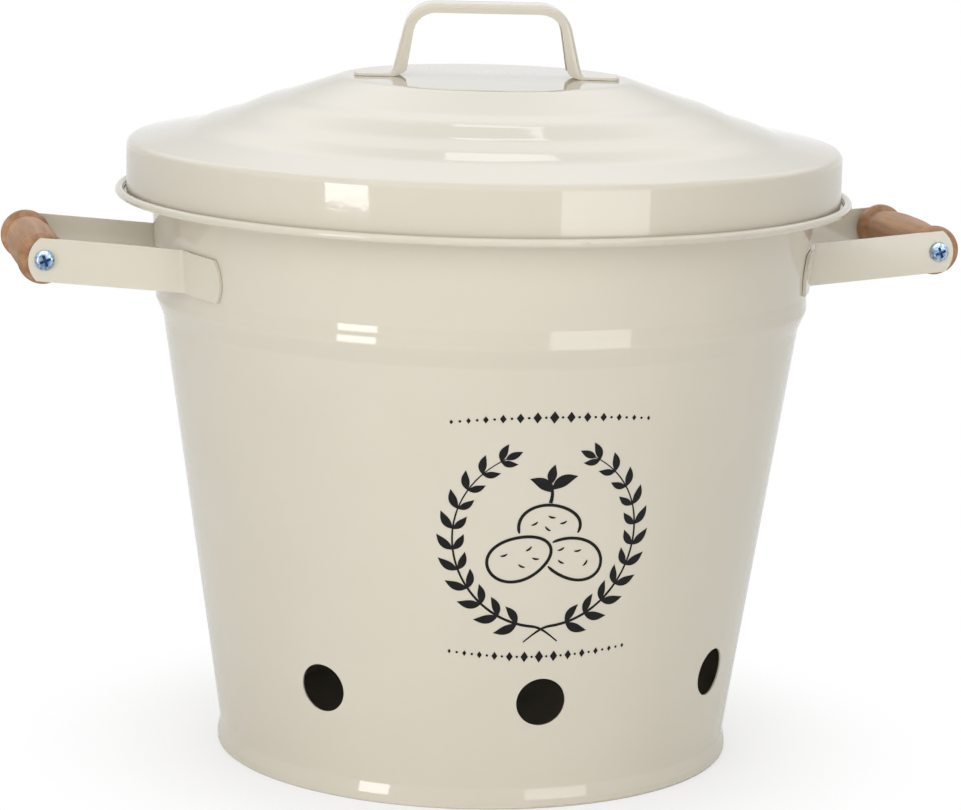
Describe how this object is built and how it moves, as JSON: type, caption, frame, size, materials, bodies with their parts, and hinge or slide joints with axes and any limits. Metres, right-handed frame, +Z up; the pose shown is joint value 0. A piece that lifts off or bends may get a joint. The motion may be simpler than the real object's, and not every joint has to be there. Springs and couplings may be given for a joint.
{
  "type": "potato storage bin",
  "caption": "Round tapered sheet-metal storage bin with a rolled rim, row of vent holes, two strap handles with turned wooden grips, and a lift-off stepped lid with a bar handle.",
  "frame": {"origin": "middle of the foot ring, on the surface that the bin stands on", "axes": "+X runs through the right-hand grip, -Y is the printed front, +Z is up"},
  "size_m": [0.387, 0.3, 0.3075],
  "materials": {
    "cream_coat": "glossy cream powder coat",
    "turned_wood": "oiled, fine straight grain",
    "zinc_screw": "bright zinc plate with a blue cast",
    "ornament_ink": "black screen print, slightly glossy"
  },
  "bodies": {
    "bin": {"bin_wall": "cream_coat", "bin_floor": "cream_coat", "strap_left_front": "cream_coat", "strap_left_back": "cream_coat", "strap_right_front": "cream_coat", "strap_right_back": "cream_coat"},
    "lid": {"lid_shell": "cream_coat", "lid_handle": "cream_coat"},
    "left_grip": {"grip_left": "turned_wood", "screw_left_front": "zinc_screw", "screw_left_back": "zinc_screw"},
    "right_grip": {"grip_right": "turned_wood", "screw_right_front": "zinc_screw", "screw_right_back": "zinc_screw"}
  },
  "joints": [
    {"name": "lid_lift", "type": "slide", "parent": "bin", "child": "lid", "axis": [0, 0, 1], "range_m": [0, 0.12]},
    {"name": "left_grip_turn", "type": "hinge", "parent": "bin", "child": "left_grip", "pos_m": [-0.1834, 0, 0.2094], "axis": [0, 1, 0], "continuous": true},
    {"name": "right_grip_turn", "type": "hinge", "parent": "bin", "child": "right_grip", "pos_m": [0.1834, 0, 0.2094], "axis": [0, 1, 0], "continuous": true}
  ]
}
